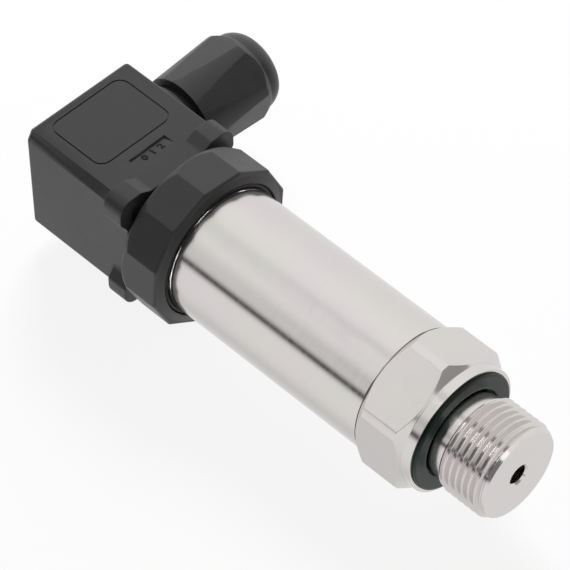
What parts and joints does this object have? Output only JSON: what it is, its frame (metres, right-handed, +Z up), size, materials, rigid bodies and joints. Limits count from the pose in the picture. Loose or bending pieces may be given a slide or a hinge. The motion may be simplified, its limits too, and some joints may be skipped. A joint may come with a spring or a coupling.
{
  "type": "pressure transmitter",
  "caption": "Steel pressure transmitter with a threaded stud and sealed hexagon, a tube housing, and a black square angle plug with a cable gland.",
  "frame": {"origin": "on the axis, at the plane of the sealing face behind the thread", "axes": "+X along the axis out of the threaded end, +Y along the cable gland's axis, out of it, +Z up from the plug's face with the imprint"},
  "size_m": [0.1148, 0.0554, 0.0342],
  "materials": {
    "steel": "fine turned stainless steel",
    "seal_green": "satin dark green rubber",
    "black_rubber": "smooth black rubber",
    "black_plastic": "fine grained glass-filled nylon",
    "grey_plastic": "moulded grey nylon",
    "clear_film": "amber insulating film",
    "ceramic": "fired alumina",
    "screw_steel": "zinc plated",
    "tinned_brass": "tin plated",
    "board_green": "solder mask",
    "chip_black": "moulded chip body",
    "lead_red": "lead insulation"
  },
  "bodies": {
    "transmitter": {"process_connection": "steel", "profile_seal": "seal_green", "sensor_o_ring": "black_rubber", "sensor_capsule": "ceramic", "capsule_retainer": "screw_steel", "sensor_leads": "lead_red", "housing_tube": "steel", "insulating_sleeve": "clear_film", "amplifier_board": "board_green", "board_components": "chip_black", "output_leads": "lead_red", "connector_base": "black_plastic", "base_o_ring": "black_rubber", "union_nut": "black_plastic", "nut_o_ring": "black_rubber", "contact_pin_1": "tinned_brass", "contact_pin_2": "tinned_brass", "contact_pin_3": "tinned_brass", "earth_pin": "tinned_brass"},
    "plug": {"plug_gasket": "black_rubber", "plug_housing": "black_plastic", "terminal_block": "grey_plastic", "contact_socket_1": "tinned_brass", "contact_socket_2": "tinned_brass", "contact_socket_3": "tinned_brass", "earth_socket": "tinned_brass", "terminal_screws": "screw_steel", "gland_grommet": "black_rubber"},
    "screw_washer": {"screw_washer": "screw_steel"},
    "fixing_screw": {"fixing_screw": "screw_steel"},
    "gland_washer": {"gland_washer": "grey_plastic"},
    "gland_nut": {"gland_nut": "black_plastic"}
  },
  "joints": [
    {"name": "plug_pull", "type": "slide", "parent": "transmitter", "child": "plug", "axis": [-1, 0, 0], "range_m": [0, 0.02]},
    {"name": "fixing_screw_feed", "type": "slide", "parent": "plug", "child": "screw_washer", "axis": [-1, 0, 0], "range_m": [0, 0.007]},
    {"name": "fixing_screw_turn", "type": "hinge", "parent": "screw_washer", "child": "fixing_screw", "pos_m": [-0.098, 0, 0], "axis": [-1, 0, 0], "range_deg": [0, 5040]},
    {"name": "gland_nut_feed", "type": "slide", "parent": "plug", "child": "gland_washer", "axis": [0, 1, 0], "range_m": [0, 0.006]},
    {"name": "gland_nut_turn", "type": "hinge", "parent": "gland_washer", "child": "gland_nut", "pos_m": [-0.0912, 0.026, 0], "axis": [0, 1, 0], "range_deg": [0, 1440]}
  ],
  "couplings": [
    {"joint": "fixing_screw_turn", "follows": "fixing_screw_feed", "rad_per_m": 12566},
    {"joint": "gland_nut_turn", "follows": "gland_nut_feed", "rad_per_m": 4188.7}
  ]
}
